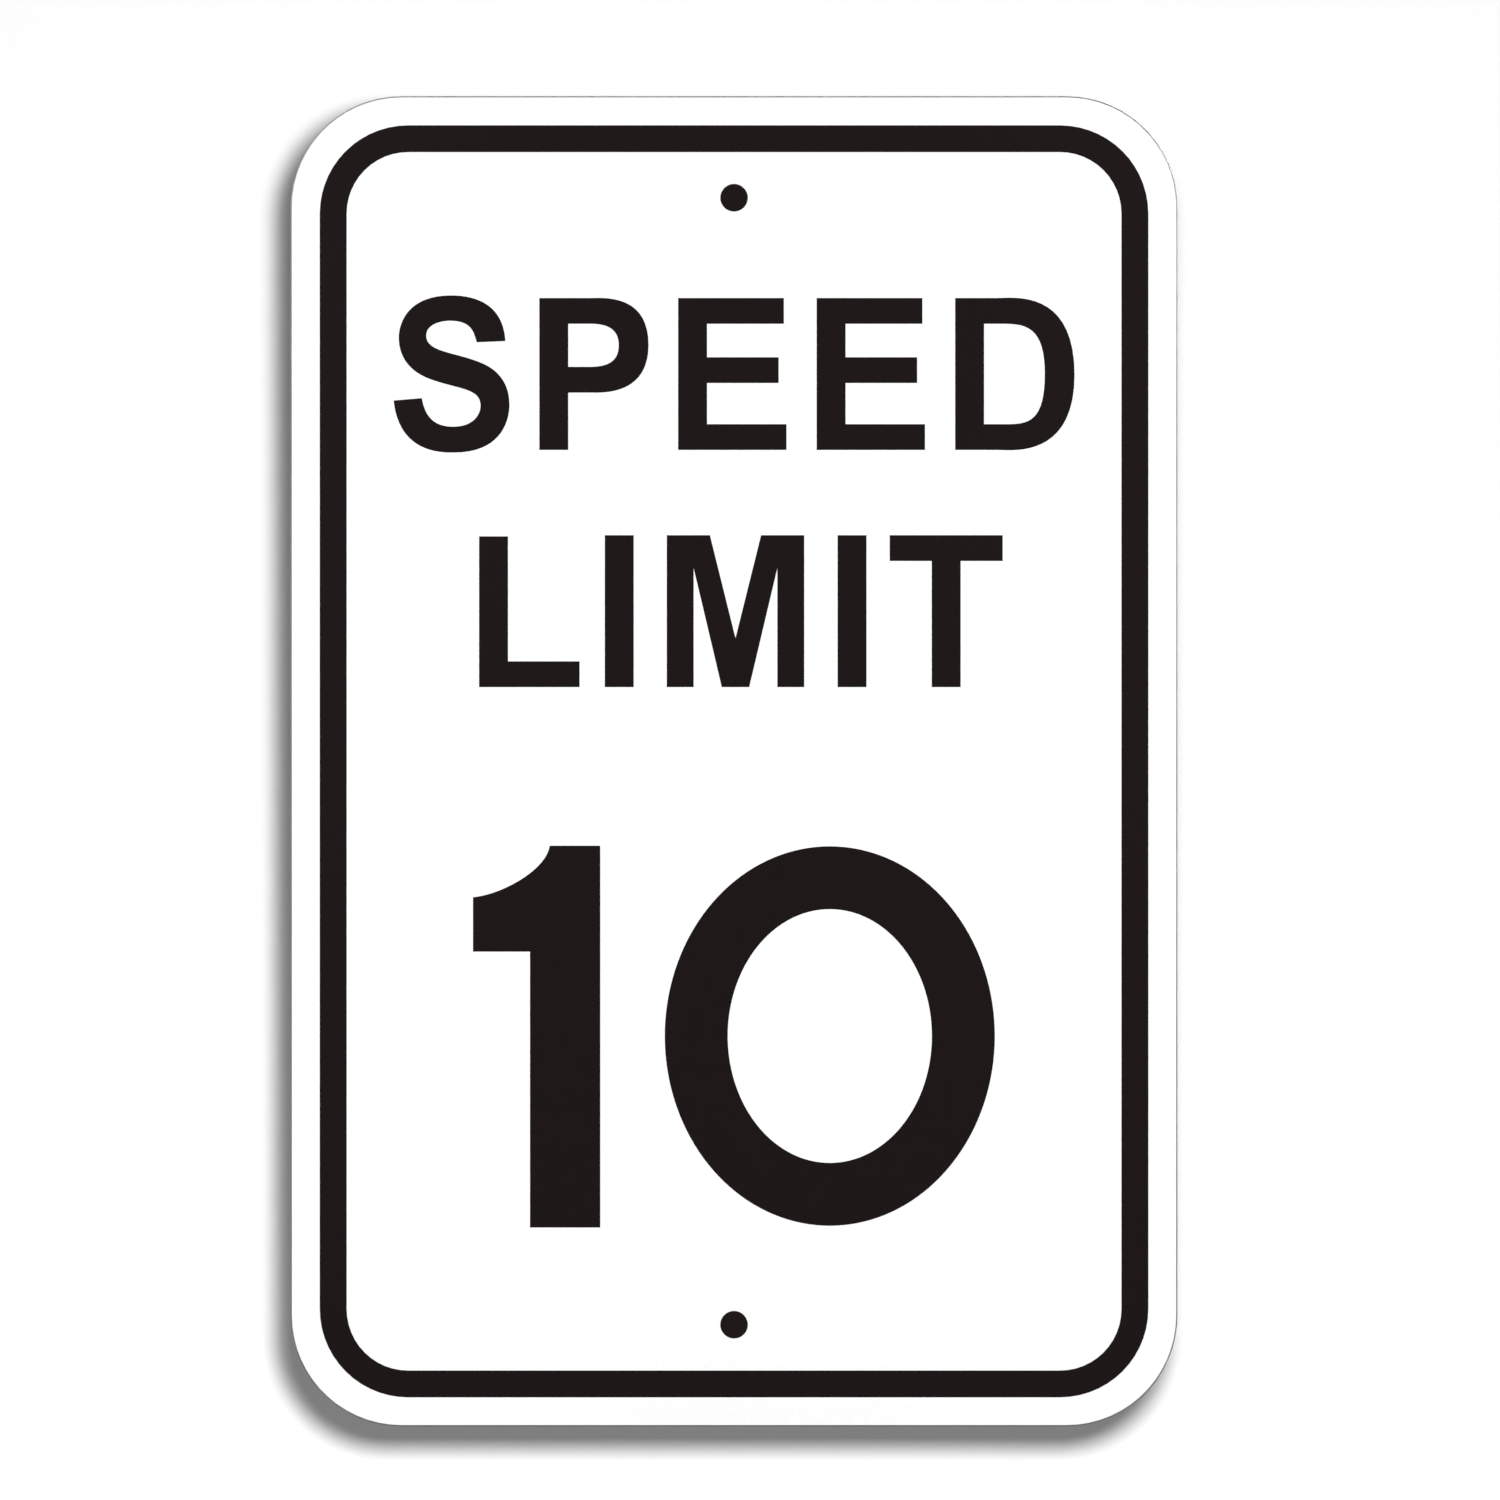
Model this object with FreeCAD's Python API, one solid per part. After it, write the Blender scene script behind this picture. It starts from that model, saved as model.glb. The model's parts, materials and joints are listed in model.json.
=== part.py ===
"""A flat road sign: an aluminium blank, the white sheeting on its face and the black border band.

Millimetres. The sign stands upright as it is read: +X to the right, +Z up, and the face looks along -Y.
The origin is on the back face, halfway between the two bolt holes.
"""

import FreeCAD
import Part
import math
import os

# Blank: a standard 12 by 18 inch size, cut out of 0.040 inch sheet
PANEL_WIDTH = 304.8
PANEL_HEIGHT = 457.2
PANEL_CORNER_RADIUS = 38.1
PANEL_THICKNESS = 1.016
PANEL_RIM_RADIUS = 0.15

# Bolt holes: 3/8 inch, on the upright centreline, one near each end
HOLE_DIAMETER = 9.525
HOLE_TO_EDGE = 34.925

# Face sheeting: stops just short of the sheet's edge, so a fine line of bare metal shows all round
SHEETING_SETBACK = 0.45
SHEETING_THICKNESS = 0.25
SHEETING_RIM_RADIUS = 0.1

# Border band: runs parallel to the edge, with corners that are rounder than ones struck from the panel's
BORDER_INSET = 10.05
BORDER_WIDTH = 9.2
BORDER_CORNER_RADIUS = 30.35
BORDER_THICKNESS = 0.06

# A rim is never rounded by more than this share of the layer that it is on
LARGEST_RIM_SHARE = 0.4

# How far an edge may lie from a plane and still be counted as on it
ON_PLANE = 1e-4

# The planes that the layers stand on, from the back of the sign to the front of its face
BACK = 0
SHEETING_BACK = BACK - PANEL_THICKNESS
FACE = SHEETING_BACK - SHEETING_THICKNESS

FORWARD = FreeCAD.Vector(0, -1, 0)


def rounded_outline(width, height, radius, y):
    """A closed wire in the upright plane at y: four straight sides joined by tangent quarter arcs."""
    side_x = width / 2 - radius
    side_z = height / 2 - radius
    centres = ((side_x, side_z), (-side_x, side_z), (-side_x, -side_z), (side_x, -side_z))

    def on_arc(quarter, degrees):
        x, z = centres[quarter % 4]
        turn = math.radians(degrees)
        return FreeCAD.Vector(x + radius * math.cos(turn), y, z + radius * math.sin(turn))

    edges = []
    for quarter in range(4):
        start = 90 * quarter
        middle = start + 45
        end = start + 90
        arc = Part.Arc(on_arc(quarter, start), on_arc(quarter, middle), on_arc(quarter, end))
        side = Part.LineSegment(on_arc(quarter, end), on_arc(quarter + 1, end))
        edges += [arc.toShape(), side.toShape()]
    return Part.Wire(edges)


def outline_inside_panel(inset, corner_radius, y):
    """The outline that lies inside the panel's edge by the inset, the same all round."""
    return rounded_outline(PANEL_WIDTH - 2 * inset, PANEL_HEIGHT - 2 * inset, corner_radius, y)


def layer(outline, thickness):
    """The flat solid that stands on the outline's plane and is as thick as asked, towards the front."""
    return Part.Face(outline).extrude(FORWARD * thickness)


def punched(solid, y, thickness):
    """The layer that stands at y, with both bolt holes cut through it."""
    height = PANEL_HEIGHT / 2 - HOLE_TO_EDGE
    overrun = thickness
    length = thickness + 2 * overrun
    punches = [
        Part.makeCylinder(HOLE_DIAMETER / 2, length, FreeCAD.Vector(0, y + overrun, z), FORWARD)
        for z in (height, -height)
    ]
    return solid.cut(punches)


def edges_on_plane(solid, y):
    """The edges that lie in the upright plane at y: the rims of the outline and of the holes."""

    def is_on_plane(edge):
        box = edge.BoundBox
        return abs(box.YMin - y) < ON_PLANE and abs(box.YMax - y) < ON_PLANE

    return [edge for edge in solid.Edges if is_on_plane(edge)]


def with_rounded_rims(solid, rims, radius, thickness):
    """Rounds the rims, by less than asked where the layer is too thin for it."""
    return solid.makeFillet(min(radius, LARGEST_RIM_SHARE * thickness), rims)


def aluminium_blank():
    """The sheet, with the burrs taken off its outline, front and back, and off the holes at the back."""
    sheet = layer(outline_inside_panel(0, PANEL_CORNER_RADIUS, BACK), PANEL_THICKNESS)
    front_rims = edges_on_plane(sheet, SHEETING_BACK)
    sheet = with_rounded_rims(sheet, front_rims, PANEL_RIM_RADIUS, PANEL_THICKNESS)
    sheet = punched(sheet, BACK, PANEL_THICKNESS)
    return with_rounded_rims(sheet, edges_on_plane(sheet, BACK), PANEL_RIM_RADIUS, PANEL_THICKNESS)


def face_sheeting():
    """The white film, punched together with the sheet, so the front rims of its holes are drawn over too."""
    corner_radius = PANEL_CORNER_RADIUS - SHEETING_SETBACK
    outline = outline_inside_panel(SHEETING_SETBACK, corner_radius, SHEETING_BACK)
    film = punched(layer(outline, SHEETING_THICKNESS), SHEETING_BACK, SHEETING_THICKNESS)
    return with_rounded_rims(film, edges_on_plane(film, FACE), SHEETING_RIM_RADIUS, SHEETING_THICKNESS)


def border_band():
    """The black band round the face, whose two edges share the centres of their corner arcs."""
    outer = outline_inside_panel(BORDER_INSET, BORDER_CORNER_RADIUS, FACE)
    inner_radius = BORDER_CORNER_RADIUS - BORDER_WIDTH
    inner = outline_inside_panel(BORDER_INSET + BORDER_WIDTH, inner_radius, FACE)
    band = layer(outer, BORDER_THICKNESS).cut(layer(inner, BORDER_THICKNESS))
    return punched(band, FACE, BORDER_THICKNESS)


def main():
    nodes = {
        "aluminium_blank": aluminium_blank(),
        "face_sheeting": face_sheeting(),
        "border_band": border_band(),
    }
    os.makedirs("parts", exist_ok=True)
    for name, shape in nodes.items():
        shape.exportStep(f"parts/{name}.step")


main()
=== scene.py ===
import json
import math

import bmesh
import bpy
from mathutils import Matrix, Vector
from mathutils.geometry import interpolate_bezier, tessellate_polygon


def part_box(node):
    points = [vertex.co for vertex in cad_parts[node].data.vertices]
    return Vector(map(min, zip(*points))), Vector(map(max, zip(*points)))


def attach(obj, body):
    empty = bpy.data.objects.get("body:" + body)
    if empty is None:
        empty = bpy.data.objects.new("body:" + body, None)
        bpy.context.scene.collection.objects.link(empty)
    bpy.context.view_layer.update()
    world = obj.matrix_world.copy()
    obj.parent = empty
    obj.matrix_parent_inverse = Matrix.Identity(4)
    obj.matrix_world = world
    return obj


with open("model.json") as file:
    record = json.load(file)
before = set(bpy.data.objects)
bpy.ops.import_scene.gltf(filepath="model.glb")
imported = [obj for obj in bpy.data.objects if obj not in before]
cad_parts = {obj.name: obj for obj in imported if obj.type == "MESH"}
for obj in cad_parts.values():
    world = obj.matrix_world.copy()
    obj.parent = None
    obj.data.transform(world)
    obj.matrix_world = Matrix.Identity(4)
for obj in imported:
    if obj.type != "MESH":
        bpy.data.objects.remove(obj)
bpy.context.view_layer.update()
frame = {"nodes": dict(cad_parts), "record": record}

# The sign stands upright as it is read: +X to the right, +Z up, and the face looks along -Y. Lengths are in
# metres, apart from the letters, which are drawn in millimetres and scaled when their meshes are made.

MM = 0.001
NODES = frame["nodes"]

# Planes of the face and of the print on it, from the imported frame
FACE_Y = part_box("face_sheeting")[0].y
PRINT_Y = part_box("border_band")[0].y

# Bolt holes, from the record
HOLES = next(mount["dims"] for mount in frame["record"]["mounts"] if mount["kind"] == "bolt_pattern")
HOLE_Z = HOLES["spacing_y_mm"] / 2 * MM
HOLE_RADIUS = HOLES["hole_r_mm"] * MM

# Lettering sizes, in millimetres
CAP_HEIGHT = 52.2
STEM = 9.9
BAR = 8.85
WORD_1_FOOT = 107.0
WORD_2_FOOT = 25.5
FIGURES_FOOT = -160.2

# Lettering meshes: how finely curves are divided, and how far the front rim of the ink is broken
CURVE_STEPS = 18
RING_STEPS = 144
PRINT_RIM = 0.02 * MM

# Colours, as linear values
WHITE_FILM = (0.93, 0.932, 0.93)
WARM_BLACK = (0.0081, 0.0045, 0.0043)
ALUMINIUM = (0.86, 0.868, 0.878)
# painted shade: the tone of the dark that the camera sees through the bolt holes
PAINTED_HOLE_SHADE = (0.0141, 0.0105, 0.0097)

# Camera, and how far it sees
CAMERA_LENS = 90
CAMERA_X = 0.00548
CAMERA_Z = 0.00388
CAMERA_TO_FACE = 1.28866
CAMERA_SIGHT = 50

# Stage
WALL_Y = 2.2
FLOOR_Z = -1.3
COVE_RADIUS = 0.5
COVE_STEPS = 32
STAGE_HALF_WIDTH = 3.88
STAGE_FRONT_Y = -0.2
WALL_TOP_Z = 3.2

# Surround: how bright the camera sees it beyond the stage, and how bright it lights everything
BACKDROP_LEVEL = 0.66
AMBIENT_LEVEL = 0.08

# Paint on the stage: a paler field behind the sign, and a darker tone round it and on the floor
FIELD_ALBEDO = 0.5
SURROUND_ALBEDO = 0.28
FIELD_HALF_WIDTH = 0.74
FIELD_FOOT_Z = -0.74
FIELD_FADE = 0.28

# Painted shade for the bolt holes: a black card with a glow of its own far behind each hole, where the front
# camera looks through it, so the hole reads as shadow. A card is given by the heights of its foot and top,
# and is turned edge-on to a camera at the front right.
HOLE_SHADE_X = -0.0015
HOLE_SHADE_Y = 0.6
HOLE_SHADE_HALF_WIDTH = 0.0165
HOLE_SHADE_TURN = math.atan2(0.83, -0.558)
HOLE_SHADE_CARDS = {"hole_shade_upper": (0.234, 0.2915), "hole_shade_lower": (-0.3145, -0.2765)}

# Lamps that throw the sign's shadow on the wall: how far each one is to the right of the camera, and how far
# both are ahead of it and above it
SHADOW_KEYS = {"shadow_key_1": 0.0042, "shadow_key_2": 0.0083}
SHADOW_KEY_AHEAD = 0.0228
SHADOW_KEY_ABOVE = 0.009

# Soft boxes for the sign: one on each side of its face, and two small ones behind it
FACE_BOX = {"shape": "RECTANGLE", "size": 0.8, "size_y": 1.1}
FACE_BOX_BESIDE = 1.4
BACK_BOX = {"shape": "RECTANGLE", "size": 0.25, "size_y": 0.4}


def heading(degrees):
    """The unit vector that points this way in the plane of the face."""
    return Vector((math.cos(math.radians(degrees)), math.sin(math.radians(degrees))))


def smooth_line(*nodes):
    """Points along cubic arcs. A node is its x, z, heading in degrees, and its handles before and after."""
    line = [Vector(nodes[0][:2])]
    for (x0, z0, turn0, _, after), (x1, z1, turn1, before, _) in zip(nodes, nodes[1:]):
        start = Vector((x0, z0))
        end = Vector((x1, z1))
        handles = start + after * heading(turn0), end - before * heading(turn1)
        line += interpolate_bezier(start, *handles, end, CURVE_STEPS + 1)[1:]
    return line


def corners(*places):
    """Points to be joined by straight lines."""
    return [Vector(place) for place in places]


def ring(radius_x, radius_z):
    """An ellipse about the letter's own centre."""
    turns = [2 * math.pi * step / RING_STEPS for step in range(RING_STEPS)]
    return [Vector((radius_x * math.cos(turn), radius_z * math.sin(turn))) for turn in turns]


def letter_s():
    """Drawn about its middle. The second side is much like the first, and is given turned half round."""
    first_side = smooth_line(
        (18.5, 11.3, 93, 0, 10.8),
        (-0.2, 27.0, 180, 11.0, 15.6),
        (-18.1, 12.6, 270, 3.9, 8.8),
        (-6.7, -2.0, 341, 5.6, 10.2),
        (10.0, -10.9, 270, 5.9, 2.8),
        (0.6, -18.1, 180, 7.1, 6.9),
        (-10.2, -8.3, 100, 6.2, 0),
    )
    second_side = smooth_line(
        (19.9, 9.1, 96, 0, 18.4),
        (-0.9, 27.0, 180, 4.2, 17.4),
        (-19.9, 10.7, 270, 3.7, 8.9),
        (-10.3, -3.8, 337, 4.7, 9.8),
        (8.7, -13.2, 270, 5.8, 3.9),
        (0.5, -18.3, 180, 3.1, 7.9),
        (-8.7, -10.9, 109, 3.0, 0),
    )
    return [first_side + [-point for point in second_side]]


def letter_p():
    bowl_foot = 19.7
    counter_foot = bowl_foot + BAR
    counter_top = CAP_HEIGHT - BAR
    bowl = smooth_line(
        (17.3, CAP_HEIGHT, 0, 0, 4.4),
        (37.5, 36.1, 270, 17.8, 17.7),
        (17.3, bowl_foot, 180, 3.7, 0),
    )
    counter = smooth_line(
        (15.2, counter_top, 0, 0, 3.5),
        (27.3, 36.0, 270, 8.1, 7.9),
        (15.2, counter_foot, 180, 4.3, 0),
    )
    stem = corners((STEM, bowl_foot), (STEM, 0), (0, 0), (0, CAP_HEIGHT))
    return [bowl + stem, counter + corners((STEM, counter_foot), (STEM, counter_top))]


def letter_e():
    top_reach, middle_reach, foot_reach = 36.3, 34.5, 37.2
    middle_foot = 23.0
    top_arm = corners((0, CAP_HEIGHT), (top_reach, CAP_HEIGHT), (top_reach, CAP_HEIGHT - BAR))
    notch_1 = corners((STEM, CAP_HEIGHT - BAR), (STEM, middle_foot + BAR))
    middle_arm = corners((middle_reach, middle_foot + BAR), (middle_reach, middle_foot))
    notch_2 = corners((STEM, middle_foot), (STEM, BAR))
    foot_arm = corners((foot_reach, BAR), (foot_reach, 0), (0, 0))
    return [top_arm + notch_1 + middle_arm + notch_2 + foot_arm]


def letter_d():
    counter_top = CAP_HEIGHT - BAR
    bowl = smooth_line(
        (14.3, CAP_HEIGHT, 0, 0, 5.8),
        (41.0, 25.8, 270, 29.7, 29.0),
        (14.6, 0, 180, 4.7, 0),
    )
    counter = smooth_line(
        (14.9, counter_top, 0, 0, 8.0),
        (30.8, 26.3, 270, 17.4, 18.4),
        (15.0, BAR, 180, 8.9, 0),
    )
    return [bowl + corners((0, 0), (0, CAP_HEIGHT)), counter + corners((STEM, BAR), (STEM, counter_top))]


def letter_l():
    """Its stem stops a little short of the other letters' tops."""
    foot_reach, shortfall = 34.5, 0.4
    top = CAP_HEIGHT - shortfall
    return [corners((0, 0), (foot_reach, 0), (foot_reach, BAR), (STEM, BAR), (STEM, top), (0, top))]


def letter_i():
    return [corners((0, 0), (STEM, 0), (STEM, CAP_HEIGHT), (0, CAP_HEIGHT))]


def letter_t():
    """Drawn about its upright centreline."""
    reach = 19.4
    underside = CAP_HEIGHT - BAR
    left = corners((-STEM / 2, underside), (-reach, underside), (-reach, CAP_HEIGHT))
    right = corners((reach, CAP_HEIGHT), (reach, underside), (STEM / 2, underside), (STEM / 2, 0))
    return [corners((-STEM / 2, 0)) + left + right]


def letter_m():
    """Drawn about its upright centreline, where the two slanting strokes meet above a narrow foot."""
    reach, stem_inside, foot, shoulder = 23.6, 14.4, 4.7, 8.8
    crotch = 16.8
    outer_notch = 41.0
    right_side = corners(
        (0, crotch),
        (shoulder, CAP_HEIGHT),
        (reach, CAP_HEIGHT),
        (reach, 0),
        (stem_inside, 0),
        (stem_inside, outer_notch),
        (foot, 0),
    )
    left_side = [Vector((-point.x, point.y)) for point in reversed(right_side[1:])]
    return [right_side + left_side]


def figure_1():
    """Drawn from its foot and the left end of its flag, which leaves the stem in a curve."""
    reach, stem_left, top = 43.7, 19.6, 131.2
    flag_foot, flag_top, flag_right = 94.8, 113.5, 26.4
    flag = smooth_line((0, flag_top, 5, 0, 9.4), (flag_right, top, 81, 8.8, 0))
    stem = corners((reach, top), (reach, 0), (stem_left, 0), (stem_left, flag_foot), (0, flag_foot))
    return [flag + stem]


def figure_0():
    """Drawn about its middle."""
    half_width, half_height, stroke = 56.7, 65.2, 21.6
    return [ring(half_width, half_height), ring(half_width - stroke, half_height - stroke)]


# Each printed piece: its outlines, and where its drawing's own origin lies, in millimetres
LEGEND = {
    "legend_S": (letter_s(), -97.1, 133.1),
    "legend_P": (letter_p(), -66.9, WORD_1_FOOT),
    "legend_E_1": (letter_e(), -19.2, WORD_1_FOOT),
    "legend_E_2": (letter_e(), 28.4, WORD_1_FOOT),
    "legend_D": (letter_d(), 76.0, WORD_1_FOOT),
    "legend_L": (letter_l(), -87.6, WORD_2_FOOT),
    "legend_I_1": (letter_i(), -44.4, WORD_2_FOOT),
    "legend_M": (letter_m(), 0.5, WORD_2_FOOT),
    "legend_I_2": (letter_i(), 35.6, WORD_2_FOOT),
    "legend_T": (letter_t(), 72.9, WORD_2_FOOT),
    "legend_1": (figure_1(), -89.7, FIGURES_FOOT),
    "legend_0": (figure_0(), 32.9, -94.4),
}


def turned_to(outline, counter_clockwise):
    """The outline's points, in the order that runs round it as asked."""
    pairs = zip(outline, outline[1:] + outline[:1])
    area = sum(a.x * b.y - b.x * a.y for a, b in pairs)
    return outline if (area > 0) == counter_clockwise else outline[::-1]


def drawn_in(outline, distance):
    """The outline moved towards its left-hand side, by the same distance all along."""
    moved = []
    for index, point in enumerate(outline):
        before = (point - outline[index - 1]).normalized()
        after = (outline[(index + 1) % len(outline)] - point).normalized()
        left_before = Vector((-before.y, before.x))
        left_after = Vector((-after.y, after.x))
        mitre = left_before + left_after
        moved.append(point + mitre * (distance / (1 + left_before.dot(left_after))))
    return moved


def walls(loops, count):
    """Faces that join three levels of the same loops, with this many points on each level."""
    faces = []
    first = 0
    for loop in loops:
        for index in range(len(loop)):
            here = first + index
            following = first + (index + 1) % len(loop)
            for low in (0, count):
                high = low + count
                faces.append((here + low, following + low, following + high, here + high))
        first += len(loop)
    return faces


def filling(loops, first):
    """Triangles that fill the outer loop round its counters, for points numbered from the first on."""
    flat_loops = [[Vector((point.x, point.y, 0)) for point in loop] for loop in loops]
    return [tuple(first + corner for corner in triangle) for triangle in tessellate_polygon(flat_loops)]


def printed_piece(name, outlines, x, z):
    """A thin closed slab of ink on the face, with its front rim broken all round."""
    shift = Vector((x, z))
    outer, *counters = [[(point + shift) * MM for point in outline] for outline in outlines]
    loops = [turned_to(outer, True)] + [turned_to(counter, False) for counter in counters]
    front_loops = [drawn_in(loop, PRINT_RIM) for loop in loops]
    levels = [(loops, FACE_Y), (loops, PRINT_Y + PRINT_RIM), (front_loops, PRINT_Y)]
    vertices = [(point.x, y, point.y) for level, y in levels for loop in level for point in loop]
    count = sum(len(loop) for loop in loops)
    faces = walls(loops, count) + filling(front_loops, 2 * count) + filling(loops, 0)
    return mesh_object(name, vertices, faces)


def mesh_object(name, vertices, faces):
    """A mesh without slivers, its faces turned outwards, or all to the same side where it is open."""
    mesh = bpy.data.meshes.new(name)
    mesh.from_pydata(vertices, [], faces)
    form = bmesh.new()
    form.from_mesh(mesh)
    bmesh.ops.beautify_fill(form, faces=form.faces, edges=form.edges)
    bmesh.ops.recalc_face_normals(form, faces=form.faces)
    form.to_mesh(mesh)
    form.free()
    piece = bpy.data.objects.new(name, mesh)
    bpy.context.scene.collection.objects.link(piece)
    return piece


class Finish:
    """A material being made. Values that are the same all over go straight onto the shader's sockets."""

    def __init__(self, name, **fixed):
        self.material = bpy.data.materials.new(name)
        self.material.use_nodes = True
        self.tree = self.material.node_tree
        self.shader = self.tree.nodes["Principled BSDF"]
        for socket, value in fixed.items():
            self.shader.inputs[socket.replace("_", " ")].default_value = value
        self.place = self.add("ShaderNodeTexCoord").outputs["Object"]

    def add(self, kind, inputs=None, **settings):
        """A new node. An input is given by name or number, and takes a value or another node's output."""
        node = self.tree.nodes.new(kind)
        for name, value in settings.items():
            setattr(node, name, value)
        for name, value in (inputs or {}).items():
            if isinstance(value, bpy.types.NodeSocket):
                self.tree.links.new(value, node.inputs[name])
            else:
                node.inputs[name].default_value = value
        return node

    def noise(self, feature, detail=2.0, stretch=(1, 1, 1), turn=0.0):
        """Smooth noise from 0 to 1, with features this many metres across.

        They are longer along a stretched axis, and turned in the plane of the face by this many radians.
        """
        scale = [1 / (feature * axis) for axis in stretch]
        inputs = {"Vector": self.place, "Rotation": (0, turn, 0)}
        turned = self.add("ShaderNodeMapping", inputs, vector_type="POINT").outputs[0]
        scaled = self.add("ShaderNodeVectorMath", {0: turned, 1: scale}, operation="MULTIPLY").outputs[0]
        inputs = {"Vector": scaled, "Scale": 1.0, "Detail": detail}
        return self.add("ShaderNodeTexNoise", inputs).outputs["Fac"]

    def spread(self, value, low, high, start=0.3, end=0.7):
        """The value from start to end, mapped smoothly to the range from low to high."""
        inputs = {"Value": value, "From Min": start, "From Max": end, "To Min": low, "To Max": high}
        return self.add("ShaderNodeMapRange", inputs, interpolation_type="SMOOTHSTEP").outputs[0]

    def maths(self, operation, *values):
        return self.add("ShaderNodeMath", dict(enumerate(values)), operation=operation).outputs[0]

    def product(self, first, *others):
        for other in others:
            first = self.maths("MULTIPLY", first, other)
        return first

    def total(self, first, *others):
        for other in others:
            first = self.maths("ADD", first, other)
        return first

    def tint(self, level, color):
        """The colour, made lighter or darker by the level."""
        return self.add("ShaderNodeVectorMath", {0: color, "Scale": level}, operation="SCALE").outputs[0]

    def bumps(self, *heights):
        """Adds up bumps, each given as a height from 0 to 1 and its full depth in metres."""
        normal = None
        for height, depth in heights:
            inputs = {"Height": height, "Distance": depth, "Strength": 1.0}
            if normal:
                inputs["Normal"] = normal
            normal = self.add("ShaderNodeBump", inputs).outputs[0]
        return normal

    def connect(self, **sockets):
        """Joins the values to the shader's sockets, and gives the finished material."""
        for socket, value in sockets.items():
            self.tree.links.new(value, self.shader.inputs[socket.replace("_", " ")])
        return self.material


def white_sheeting():
    """Glossy white film with a fine bead grain, laid not quite flat."""
    film = Finish("white_sheeting", Coat_Weight=0.25, Coat_Roughness=0.12, Specular_IOR_Level=0.5)
    clouds = film.noise(90 * MM, detail=3)
    grain = film.noise(0.9 * MM, detail=1)
    lie = film.noise(45 * MM, detail=1)
    shade = film.product(film.spread(clouds, 0.985, 1.0), film.spread(grain, 0.975, 1.0))
    return film.connect(
        Base_Color=film.tint(shade, WHITE_FILM),
        Roughness=film.spread(clouds, 0.3, 0.4),
        Normal=film.bumps((lie, 0.02 * MM), (grain, 0.0015 * MM)),
    )


def black_print():
    """Screen-printed ink: a satin black, a little warm, with slight mottling and orange peel."""
    ink = Finish("black_print", Specular_IOR_Level=0.5)
    mottle = ink.noise(6 * MM, detail=3)
    peel = ink.noise(0.7 * MM, detail=1)
    lie = ink.noise(45 * MM, detail=1)
    return ink.connect(
        Base_Color=ink.tint(ink.spread(mottle, 0.85, 1.15), WARM_BLACK),
        Roughness=ink.spread(mottle, 0.28, 0.22),
        Normal=ink.bumps((lie, 0.02 * MM), (peel, 0.0012 * MM)),
    )


def aluminium_sheet():
    """Mill-finish sheet: rolling grain up the sign, faint bands and scuffs, dull edges that are also
    darkened as painted shade, rubbed holes.
    """
    metal = Finish("aluminium_sheet", Metallic=1.0)
    grain = metal.noise(0.4 * MM, detail=2, stretch=(1, 1, 60))
    bands = metal.noise(12 * MM, detail=3, stretch=(1, 1, 40))
    clouds = metal.noise(70 * MM, detail=4)
    scratches = scuffs(metal)
    edges = dull_edges_and_painted_shade(metal)
    shade = metal.product(
        metal.spread(grain, 0.93, 1.0),
        metal.spread(bands, 0.95, 1.0),
        metal.spread(clouds, 0.97, 1.0),
        # painted shade: the rims and hole walls darkened to 0.3 of the metal, which draws a dark line round
        # the sign
        metal.spread(edges, 1.0, 0.3, 0, 1),
    )
    roughness = metal.total(
        metal.spread(bands, 0.33, 0.36),
        metal.spread(clouds, -0.01, 0.01),
        metal.product(edges, 0.45),
        metal.product(scratches, 0.12),
        metal.product(hole_rings(metal), -0.04),
    )
    return metal.connect(
        Base_Color=metal.tint(shade, ALUMINIUM),
        Roughness=roughness,
        Normal=metal.bumps((grain, 0.0012 * MM), (bands, 0.003 * MM), (scratches, -0.003 * MM)),
    )


def scuffs(metal):
    """1 in fine scratches that run two ways, and 0 between them."""
    one_way = metal.noise(1.6 * MM, detail=1, stretch=(1, 1, 30), turn=0.5)
    other_way = metal.noise(1.3 * MM, detail=1, stretch=(1, 1, 36), turn=-1.1)
    return metal.maths(
        "MAXIMUM",
        metal.spread(one_way, 0, 1, start=0.7, end=0.78),
        metal.spread(other_way, 0, 1, start=0.72, end=0.8),
    )


def dull_edges_and_painted_shade(metal):
    """1 on the sheet's rims and in its holes, and 0 on its flat sides. It makes them rougher, and darker as
    painted shade.
    """
    normal = metal.add("ShaderNodeTexCoord").outputs["Normal"]
    facing = metal.add("ShaderNodeSeparateXYZ", {0: normal}).outputs["Y"]
    return metal.spread(metal.maths("ABSOLUTE", facing), 1, 0, 0.93, 0.995)


def hole_rings(metal):
    """1 in a narrow ring round each bolt hole, where the tool has rubbed the sheet, and 0 further out."""
    split = metal.add("ShaderNodeSeparateXYZ", {0: metal.place})
    across = split.outputs["X"]
    height = metal.maths("SUBTRACT", metal.maths("ABSOLUTE", split.outputs["Z"]), HOLE_Z)
    away = metal.maths("SQRT", metal.total(metal.product(across, across), metal.product(height, height)))
    return metal.spread(away, 1, 0, HOLE_RADIUS + 0.4 * MM, HOLE_RADIUS + 1.4 * MM)


def stage_paint():
    """Matt paint, palest in the field behind the sign, with a faint unevenness."""
    paint = Finish("stage_paint", Roughness=1.0, Specular_IOR_Level=0.0)
    split = paint.add("ShaderNodeSeparateXYZ", {0: paint.place})
    beside = paint.maths("ABSOLUTE", split.outputs["X"])
    inside = paint.spread(beside, 1, 0, FIELD_HALF_WIDTH, FIELD_HALF_WIDTH + FIELD_FADE)
    above = paint.spread(split.outputs["Z"], 0, 1, FIELD_FOOT_Z - FIELD_FADE, FIELD_FOOT_Z)
    albedo = paint.spread(paint.product(inside, above), SURROUND_ALBEDO, FIELD_ALBEDO, 0, 1)
    unevenness = paint.spread(paint.noise(0.6, detail=2), 0.99, 1.0)
    return paint.connect(Base_Color=paint.tint(paint.product(albedo, unevenness), (1, 1, 1)))


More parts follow.
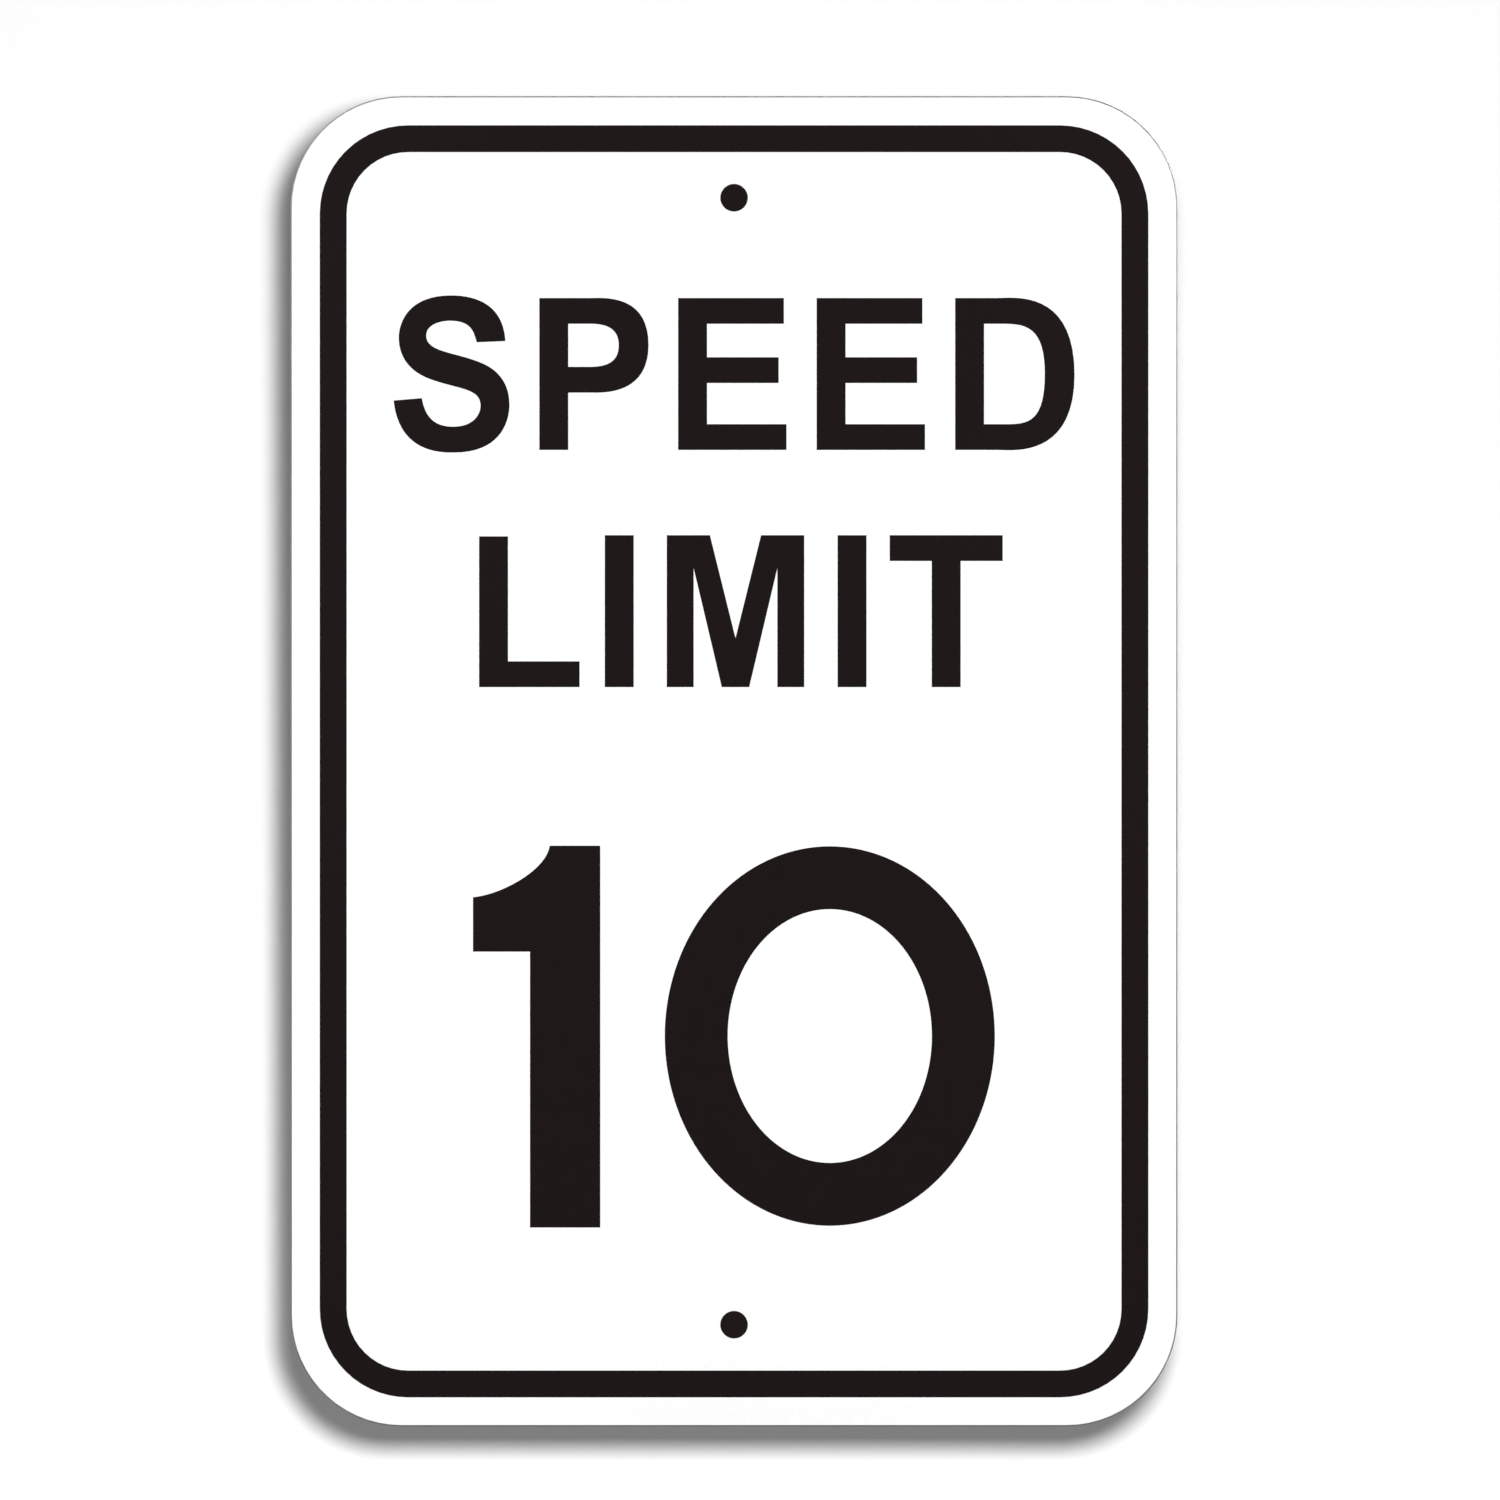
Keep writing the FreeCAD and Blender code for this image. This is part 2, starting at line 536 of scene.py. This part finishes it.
def hole_shade_material():
    """Painted shade: a black card with a faint glow of its own, so its tone is the same in any light,
    standing in for the shadow seen through the bolt holes.
    """
    hole_shade_finish = Finish("hole_shade_material", Roughness=1.0, Specular_IOR_Level=0.0, Emission_Strength=1.0)
    hole_shade_finish.shader.inputs["Base Color"].default_value = (0, 0, 0, 1)
    mottle = hole_shade_finish.spread(hole_shade_finish.noise(4 * MM, detail=2), 0.95, 1.05)
    return hole_shade_finish.connect(Emission_Color=hole_shade_finish.tint(mottle, PAINTED_HOLE_SHADE))


def dress_frame(materials):
    """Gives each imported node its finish."""
    for name, material in materials.items():
        for slot in NODES[name].material_slots:
            slot.material = material


def print_legend(ink):
    """The letters and figures, as pieces of ink on the face."""
    pieces = []
    for name, (outlines, x, z) in LEGEND.items():
        piece = printed_piece(name, outlines, x, z)
        piece.data.materials.append(ink)
        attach(piece, "root")
        pieces.append(piece)
    return pieces


def backdrop():
    """One sheet for floor and wall, with a cove between them. Past its ends the surround looks the same."""
    profile = [(STAGE_FRONT_Y, FLOOR_Z)]
    for step in range(COVE_STEPS + 1):
        turn = math.pi / 2 * step / COVE_STEPS
        y = WALL_Y - COVE_RADIUS + COVE_RADIUS * math.sin(turn)
        z = FLOOR_Z + COVE_RADIUS - COVE_RADIUS * math.cos(turn)
        profile.append((y, z))
    profile.append((WALL_Y, WALL_TOP_Z))
    vertices = [(x, y, z) for y, z in profile for x in (-STAGE_HALF_WIDTH, STAGE_HALF_WIDTH)]
    faces = [(2 * row, 2 * row + 1, 2 * row + 3, 2 * row + 2) for row in range(len(profile) - 1)]
    sweep = mesh_object("backdrop", vertices, faces)
    for face in sweep.data.polygons:
        face.use_smooth = True
    sweep.data.materials.append(stage_paint())
    return sweep


def place_hole_shade_cards():
    """Painted shade cards behind the bolt holes. Only the camera sees them: they throw no shadow and show in
    no reflection.
    """
    hole_shade_finish = hole_shade_material()
    reach = HOLE_SHADE_HALF_WIDTH * Vector((math.cos(HOLE_SHADE_TURN), math.sin(HOLE_SHADE_TURN)))
    ends = [(HOLE_SHADE_X - reach.x, HOLE_SHADE_Y - reach.y), (HOLE_SHADE_X + reach.x, HOLE_SHADE_Y + reach.y)]
    for name, (foot, top) in HOLE_SHADE_CARDS.items():
        vertices = [(x, y, z) for z in (foot, top) for x, y in ends]
        flag = mesh_object(name, vertices, [(0, 1, 3, 2)])
        flag.data.materials.append(hole_shade_finish)
        flag.visible_shadow = False
        flag.visible_diffuse = False
        flag.visible_glossy = False
        flag.visible_transmission = False


def world_light():
    """A pale surround for the camera, and a low even light for everything else."""
    world = bpy.data.worlds.new("surround")
    bpy.context.scene.world = world
    world.use_nodes = True
    nodes = world.node_tree.nodes
    links = world.node_tree.links
    path = nodes.new("ShaderNodeLightPath")
    level = nodes.new("ShaderNodeMapRange")
    level.inputs["To Min"].default_value = AMBIENT_LEVEL
    level.inputs["To Max"].default_value = BACKDROP_LEVEL
    links.new(path.outputs["Is Camera Ray"], level.inputs["Value"])
    links.new(level.outputs[0], nodes["Background"].inputs["Strength"])
    nodes["Background"].inputs["Color"].default_value = (1, 1, 1, 1)


def lamp(name, kind, lit, place, target, power, **settings):
    """A lamp that lights only the given objects and is never seen itself."""
    data = bpy.data.lights.new(name, kind)
    data.energy = power
    for setting, value in settings.items():
        setattr(data, setting, value)
    light = bpy.data.objects.new(name, data)
    bpy.context.scene.collection.objects.link(light)
    light.location = place
    light.rotation_euler = (Vector(target) - Vector(place)).to_track_quat("-Z", "Y").to_euler()
    light.visible_camera = False
    light.light_linking.receiver_collection = lit
    return light


def collection(name, objects):
    group = bpy.data.collections.new(name)
    for item in objects:
        group.objects.link(item)
    return group


def without_falloff(light):
    """Makes the lamp as strong far away as it is at one metre."""
    light.data.use_nodes = True
    nodes = light.data.node_tree.nodes
    falloff = nodes.new("ShaderNodeLightFalloff")
    falloff.inputs["Strength"].default_value = 1.0
    light.data.node_tree.links.new(falloff.outputs["Constant"], nodes["Emission"].inputs["Strength"])


def stage_lights(stage):
    """Suns for the floor and wall, and two small lamps by the camera for the sign's shadow on the wall."""
    lamp("floor_sun", "SUN", stage, place=(0, 0, 4), target=(0, 0, 0), power=3.6, angle=math.radians(20))
    lamp("wall_sun", "SUN", stage, place=(0, -4, 0), target=(0, 0, 0), power=0.32, use_shadow=False)
    y = FACE_Y - CAMERA_TO_FACE + SHADOW_KEY_AHEAD
    z = CAMERA_Z + SHADOW_KEY_ABOVE
    for name, beside in SHADOW_KEYS.items():
        x = CAMERA_X + beside
        key = lamp(
            name,
            "SPOT",
            stage,
            place=(x, y, z),
            target=(x, WALL_Y, z),
            power=34.3,
            shadow_soft_size=0.007,
            spot_size=math.radians(114),
            spot_blend=0.15,
        )
        key.visible_glossy = False
        without_falloff(key)


def sign_lights(sign):
    """Large soft boxes on both sides of the face, aimed low to even it out, and two small ones behind."""
    for name, x in (("left_box", -FACE_BOX_BESIDE), ("right_box", FACE_BOX_BESIDE)):
        lamp(name, "AREA", sign, place=(x, -0.95, 0.4), target=(0, 0, -1.9), power=40.2, **FACE_BOX)
    lamp("back_box", "AREA", sign, place=(0.75, 0.8, -0.12), target=(0, 0, 0.05), power=0.28, **BACK_BOX)
    lamp("back_fill", "AREA", sign, place=(-0.8, 0.7, 0.1), target=(0, 0, 0), power=0.12, **BACK_BOX)


def camera():
    """Level, square to the face, a little right of its middle and above it."""
    data = bpy.data.cameras.new("camera")
    data.lens = CAMERA_LENS
    data.clip_end = CAMERA_SIGHT
    eye = bpy.data.objects.new("camera", data)
    bpy.context.scene.collection.objects.link(eye)
    eye.location = (CAMERA_X, FACE_Y - CAMERA_TO_FACE, CAMERA_Z)
    eye.rotation_euler = (math.pi / 2, 0, 0)
    bpy.context.scene.camera = eye


def plain_tones():
    """Shows the light as it is, without a film's curve, so the face stays white and the ink black."""
    bpy.context.scene.view_settings.view_transform = "Standard"


ink = black_print()
dress_frame({"aluminium_blank": aluminium_sheet(), "face_sheeting": white_sheeting(), "border_band": ink})
legend = print_legend(ink)
sweep = backdrop()
place_hole_shade_cards()
world_light()
stage_lights(collection("stage_only", [sweep]))
sign_lights(collection("sign_only", list(NODES.values()) + legend))
camera()
plain_tones()
